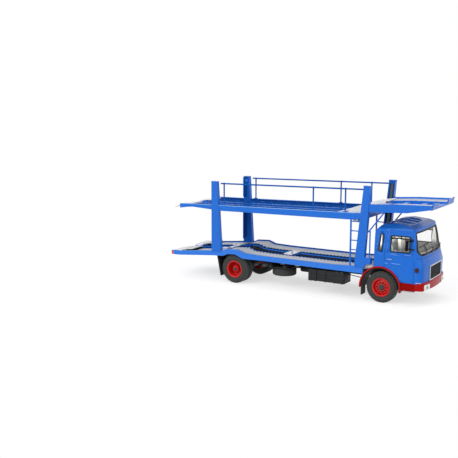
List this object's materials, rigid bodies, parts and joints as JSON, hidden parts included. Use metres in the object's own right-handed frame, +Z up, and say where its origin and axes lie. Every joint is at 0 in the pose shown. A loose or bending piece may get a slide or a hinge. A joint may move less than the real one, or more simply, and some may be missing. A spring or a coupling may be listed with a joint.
{
  "type": "scale model car transporter truck",
  "caption": "Two-deck car transporter truck model with a cab over the engine, a sloping upper deck on posts, railings, ladders and free-rolling wheels.",
  "frame": {"origin": "middle of the model's bounding box, on the floor under the tyres", "axes": "+X forward, +Y to the truck's left, +Z up"},
  "size_m": [0.2368, 0.0676, 0.0911],
  "materials": {
    "blue_paint": "gloss",
    "red_paint": "gloss",
    "wheel_red": "gloss",
    "chassis_black": "satin",
    "track_grey": "satin",
    "tyre_rubber": "matte",
    "shaft_steel": "brushed",
    "clear_glass": "clear",
    "seal_rubber": "matte",
    "cab_interior": "matte",
    "silver_trim": "polished",
    "lamp_clear": "gloss",
    "lamp_red": "gloss",
    "lamp_amber": "gloss"
  },
  "bodies": {
    "truck": {"air_vessel": "chassis_black", "arch_liners": "chassis_black", "arch_trims": "red_paint", "battery_box": "chassis_black", "bumper_steps": "silver_trim", "cab_deck_frame": "blue_paint", "cab_deck_tracks": "track_grey", "cab_floor": "cab_interior", "cab_glazing": "clear_glass", "cab_shell": "blue_paint", "cab_steps": "track_grey", "chassis_frame": "chassis_black", "dashboard": "cab_interior", "deck_struts": "blue_paint", "door_handles": "silver_trim", "engine_block": "chassis_black", "front_axle_beam": "chassis_black", "front_bumper": "red_paint", "front_cross_beam": "blue_paint", "front_mudflaps": "chassis_black", "front_posts": "blue_paint", "fuel_tank": "chassis_black", "gearbox_and_propshaft": "chassis_black", "grille": "chassis_black", "grille_frame": "silver_trim", "headlamps": "lamp_clear", "ladders": "blue_paint", "leaf_springs": "chassis_black", "lift_rams": "chassis_black", "lower_deck_frame": "blue_paint", "lower_deck_tracks": "track_grey", "lower_rear_flaps": "track_grey", "mirrors": "chassis_black", "railings": "blue_paint", "rear_axle_housing": "chassis_black", "rear_mudflaps": "chassis_black", "rear_posts": "blue_paint", "seats": "cab_interior", "side_lamps": "lamp_amber", "side_skirts": "red_paint", "spare_rim": "wheel_red", "spare_wheel": "tyre_rubber", "steering_wheel": "cab_interior", "tail_lamps": "lamp_red", "tow_coupling": "chassis_black", "transition_ramps": "track_grey", "upper_deck_frame": "blue_paint", "upper_deck_lattice": "blue_paint", "upper_rear_flaps": "track_grey", "window_seals": "seal_rubber", "wipers": "chassis_black"},
    "front_wheel_set": {"front_axle_shaft": "shaft_steel", "front_rims": "wheel_red", "front_tyres": "tyre_rubber"},
    "rear_wheel_set": {"rear_axle_shaft": "shaft_steel", "rear_rims": "wheel_red", "rear_tyres": "tyre_rubber"}
  },
  "joints": [
    {"name": "front_wheels_roll", "type": "hinge", "parent": "truck", "child": "front_wheel_set", "pos_m": [0.079, 0, 0.0123], "axis": [0, 1, 0], "continuous": true},
    {"name": "rear_wheels_roll", "type": "hinge", "parent": "truck", "child": "rear_wheel_set", "pos_m": [-0.054, 0, 0.0123], "axis": [0, 1, 0], "continuous": true}
  ]
}
